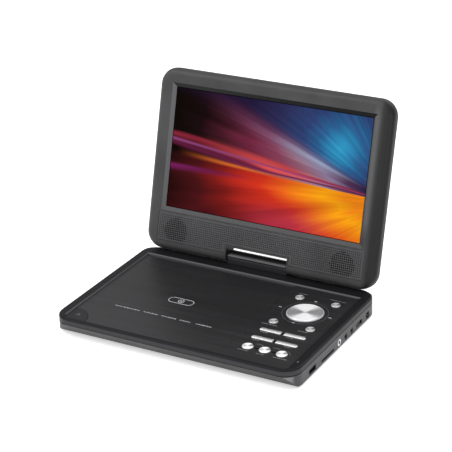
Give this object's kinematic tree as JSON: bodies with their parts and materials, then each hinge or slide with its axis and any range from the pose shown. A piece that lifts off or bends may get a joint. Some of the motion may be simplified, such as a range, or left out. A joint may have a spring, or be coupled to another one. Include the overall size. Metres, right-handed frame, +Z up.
{
  "type": "portable disc player",
  "caption": "Portable disc player: flat base with a hinged disc door, keypad and side sockets, and a wide screen lid on a knuckle that tilts and swivels.",
  "frame": {"origin": "middle of the whole player's outline on the table plane, with the lid leaning back as it stands at rest", "axes": "+Z up, +X towards the wall with the sockets (the user's right), +Y away from the user"},
  "size_m": [0.265, 0.2382, 0.2062],
  "materials": {
    "rim": "semi-gloss dark plastic",
    "case": "satin grey plastic",
    "lid": "satin dark grey plastic",
    "grille": "finely dimpled dark grey",
    "panel": "fine brushed black",
    "key_chrome": "bright plated plastic",
    "screen": "display glass",
    "rubber": "matt black",
    "steel": "plain steel",
    "bush": "turned",
    "inner_plastic": "black moulded",
    "jack": "black moulded",
    "jack_ring": "bright ring",
    "board": "green circuit board",
    "cell": "wrapped battery",
    "light": "clear"
  },
  "bodies": {
    "base": {"base_top_shell": "rim", "base_bottom_shell": "case", "rubber_feet": "rubber", "case_screws": "steel", "door_hinge_pins": "steel", "disc_well_tray": "inner_plastic", "traverse_plate": "steel", "guide_rods": "steel", "spindle_motor": "steel", "sled_motor": "steel", "main_board": "board", "battery_pack": "cell", "port_board": "board", "usb_port": "steel", "card_socket": "steel", "headphone_jack": "jack_ring", "av_jacks": "jack", "dc_jack": "jack", "status_light": "light", "keypad_panel": "panel", "key_mat": "rubber", "keypad_board": "board", "hinge_bracket": "steel", "swivel_bush": "bush"},
    "knuckle": {"swivel_post": "steel", "swivel_clip": "steel", "knuckle_front_shell": "rim", "knuckle_rear_shell": "rim", "knuckle_frame": "steel"},
    "lid": {"tilt_pins": "steel", "lid_front_bezel": "lid", "lid_back_cover": "lid", "speaker_grille": "grille", "lcd_panel": "screen", "display_frame": "steel", "speakers": "inner_plastic", "lid_board": "board", "lid_screws": "steel", "lid_hinge_brackets": "steel"},
    "door": {"disc_door": "panel"},
    "release_key": {"door_release_key": "panel"},
    "hub": {"spindle_hub": "inner_plastic"},
    "sled": {"laser_sled": "inner_plastic", "laser_lens": "light"},
    "lead_screw": {"lead_screw": "steel"},
    "switch": {"power_switch_knob": "inner_plastic"},
    "pad_plunger": {"pad_plunger": "inner_plastic"},
    "pad_carrier": {"pad_carrier": "inner_plastic"},
    "direction_pad": {"direction_pad": "key_chrome"},
    "bar_key_upper_left": {"bar_key_upper_left": "key_chrome"},
    "bar_key_upper_right": {"bar_key_upper_right": "key_chrome"},
    "bar_key_lower_left": {"bar_key_lower_left": "key_chrome"},
    "bar_key_lower_right": {"bar_key_lower_right": "key_chrome"},
    "key_rear_left": {"key_rear_left": "key_chrome"},
    "key_rear_right": {"key_rear_right": "key_chrome"},
    "key_front_left": {"key_front_left": "key_chrome"},
    "key_front_right": {"key_front_right": "key_chrome"},
    "transport_key_left": {"transport_key_left": "key_chrome"},
    "transport_key_middle": {"transport_key_middle": "key_chrome"},
    "transport_key_right": {"transport_key_right": "key_chrome"}
  },
  "joints": [
    {"name": "disc_door_open", "type": "hinge", "parent": "base", "child": "door", "pos_m": [-0.0357, 0.04043, 0.0159], "axis": [1, 0, 0], "range_deg": [-60, 0]},
    {"name": "disc_spin", "type": "hinge", "parent": "base", "child": "hub", "pos_m": [-0.0353, -0.03487, 0.014], "axis": [0, 0, 1], "continuous": true},
    {"name": "door_key_press", "type": "slide", "parent": "base", "child": "release_key", "axis": [0, 0, -1], "range_m": [0, 0.0008]},
    {"name": "lid_swivel", "type": "hinge", "parent": "base", "child": "knuckle", "pos_m": [0, 0.06333, 0.016], "axis": [0, 0, 1], "range_deg": [-180, 90]},
    {"name": "lid_tilt", "type": "hinge", "parent": "knuckle", "child": "lid", "pos_m": [0, 0.06333, 0.0304], "axis": [-1, 0, 0], "range_deg": [-105.6, 74.4]},
    {"name": "pad_press", "type": "slide", "parent": "base", "child": "pad_plunger", "axis": [0, 0, -1], "range_m": [0, 0.0004]},
    {"name": "pad_rock_fore", "type": "hinge", "parent": "pad_plunger", "child": "pad_carrier", "pos_m": [0.0867, -0.00487, 0.017], "axis": [1, 0, 0], "range_deg": [-1.5, 1.5]},
    {"name": "pad_rock_side", "type": "hinge", "parent": "pad_carrier", "child": "direction_pad", "pos_m": [0.0867, -0.00487, 0.018], "axis": [0, 1, 0], "range_deg": [-1.5, 1.5]},
    {"name": "press_bar_key_upper_left", "type": "slide", "parent": "base", "child": "bar_key_upper_left", "axis": [0, 0, -1], "range_m": [0, 0.0004]},
    {"name": "press_bar_key_upper_right", "type": "slide", "parent": "base", "child": "bar_key_upper_right", "axis": [0, 0, -1], "range_m": [0, 0.0004]},
    {"name": "press_bar_key_lower_left", "type": "slide", "parent": "base", "child": "bar_key_lower_left", "axis": [0, 0, -1], "range_m": [0, 0.0004]},
    {"name": "press_bar_key_lower_right", "type": "slide", "parent": "base", "child": "bar_key_lower_right", "axis": [0, 0, -1], "range_m": [0, 0.0004]},
    {"name": "press_key_rear_left", "type": "slide", "parent": "base", "child": "key_rear_left", "axis": [0, 0, -1], "range_m": [0, 0.0004]},
    {"name": "press_key_rear_right", "type": "slide", "parent": "base", "child": "key_rear_right", "axis": [0, 0, -1], "range_m": [0, 0.0004]},
    {"name": "press_key_front_left", "type": "slide", "parent": "base", "child": "key_front_left", "axis": [0, 0, -1], "range_m": [0, 0.0004]},
    {"name": "press_key_front_right", "type": "slide", "parent": "base", "child": "key_front_right", "axis": [0, 0, -1], "range_m": [0, 0.0004]},
    {"name": "press_transport_key_left", "type": "slide", "parent": "base", "child": "transport_key_left", "axis": [0, 0, -1], "range_m": [0, 0.0004]},
    {"name": "press_transport_key_middle", "type": "slide", "parent": "base", "child": "transport_key_middle", "axis": [0, 0, -1], "range_m": [0, 0.0004]},
    {"name": "press_transport_key_right", "type": "slide", "parent": "base", "child": "transport_key_right", "axis": [0, 0, -1], "range_m": [0, 0.0004]},
    {"name": "sled_slide", "type": "slide", "parent": "base", "child": "sled", "axis": [0, -1, 0], "range_m": [0, 0.033]},
    {"name": "screw_spin", "type": "hinge", "parent": "base", "child": "lead_screw", "pos_m": [-0.0637, -0.05407, 0.0076], "axis": [0, -1, 0], "range_deg": [-30, 4000]},
    {"name": "switch_slide", "type": "slide", "parent": "base", "child": "switch", "axis": [0, 1, 0], "range_m": [0, 0.003]}
  ],
  "couplings": [
    {"joint": "screw_spin", "follows": "sled_slide", "rad_per_m": 2094.4}
  ]
}
